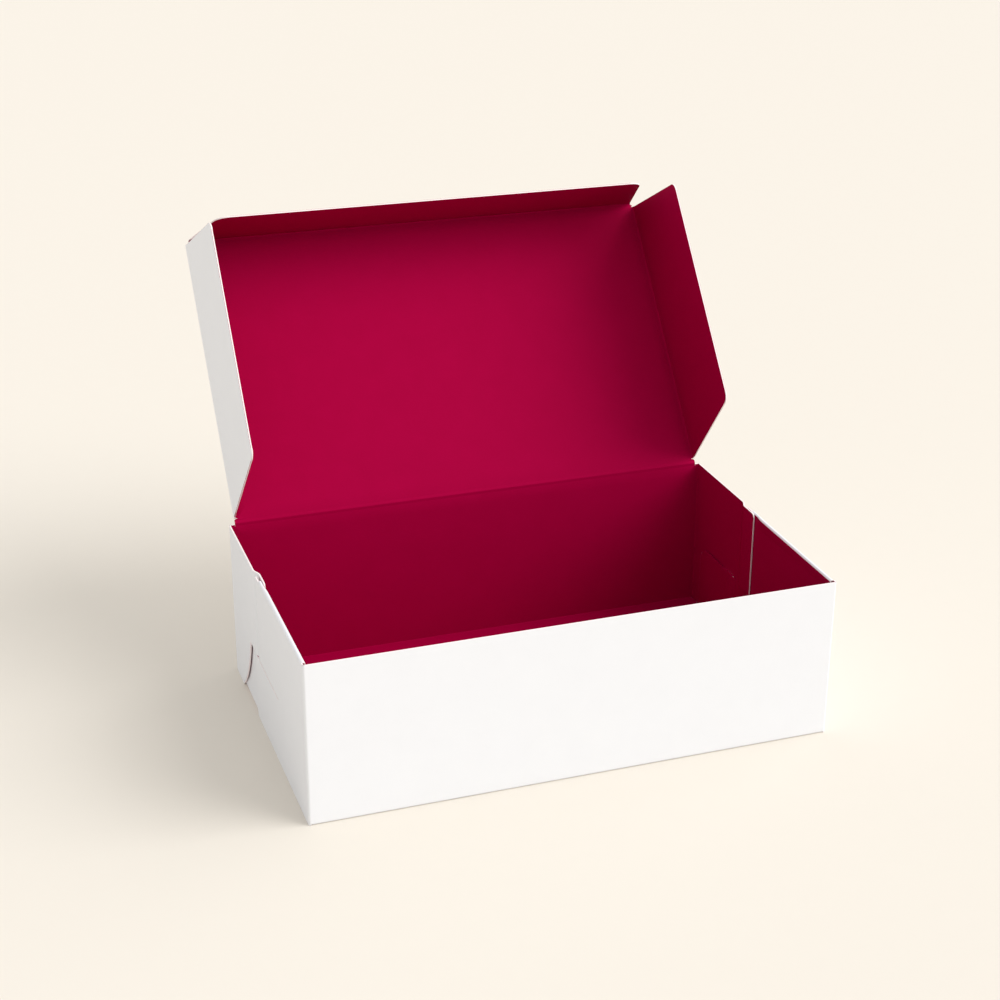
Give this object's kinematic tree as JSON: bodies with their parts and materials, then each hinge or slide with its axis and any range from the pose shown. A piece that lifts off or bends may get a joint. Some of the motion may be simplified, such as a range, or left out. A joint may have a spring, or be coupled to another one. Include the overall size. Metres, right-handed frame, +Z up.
{
  "type": "cake box",
  "caption": "Folding cake box of printed board, standing open: tray with locked double side walls, hinged lid with side flaps and a tuck flap.",
  "frame": {"origin": "middle of the base's underside, on the surface that the box stands on", "axes": "+Z up, +X to the right when facing the front wall, front wall towards -Y, lid hinged on the back wall at +Y"},
  "size_m": [0.305, 0.2985, 0.2659],
  "materials": {
    "tray_board": "smooth coated board, white outside and crimson inside, raw pale cut edges",
    "lid_board": "smooth coated board, white outside and crimson inside, raw pale cut edges",
    "tuck_board": "smooth coated board, white outside and crimson inside, raw pale cut edges",
    "left_flap_board": "smooth coated board, white outside and crimson inside, raw pale cut edges",
    "right_flap_board": "smooth coated board, white outside and crimson inside, raw pale cut edges"
  },
  "bodies": {
    "tray": {"tray": "tray_board"},
    "lid": {"lid_panel": "lid_board"},
    "tuck_flap": {"tuck_flap": "tuck_board"},
    "left_flap": {"left_flap": "left_flap_board"},
    "right_flap": {"right_flap": "right_flap_board"}
  },
  "joints": [
    {"name": "lid_hinge", "type": "hinge", "parent": "tray", "child": "lid", "pos_m": [0, 0.09155, 0.0967], "axis": [-1, 0, 0], "range_deg": [-129, 51]},
    {"name": "tuck_crease", "type": "hinge", "parent": "lid", "child": "tuck_flap", "pos_m": [0, 0.20605, 0.2381], "axis": [1, 0, 0], "range_deg": [-99, 3]},
    {"name": "left_crease", "type": "hinge", "parent": "lid", "child": "left_flap", "pos_m": [-0.1488, 0.1488, 0.1674], "axis": [0, 0.6293, 0.7771], "range_deg": [-93.5, 6.5]},
    {"name": "right_crease", "type": "hinge", "parent": "lid", "child": "right_flap", "pos_m": [0.1488, 0.1488, 0.1674], "axis": [0, -0.6293, -0.7771], "range_deg": [-90, 10]}
  ]
}
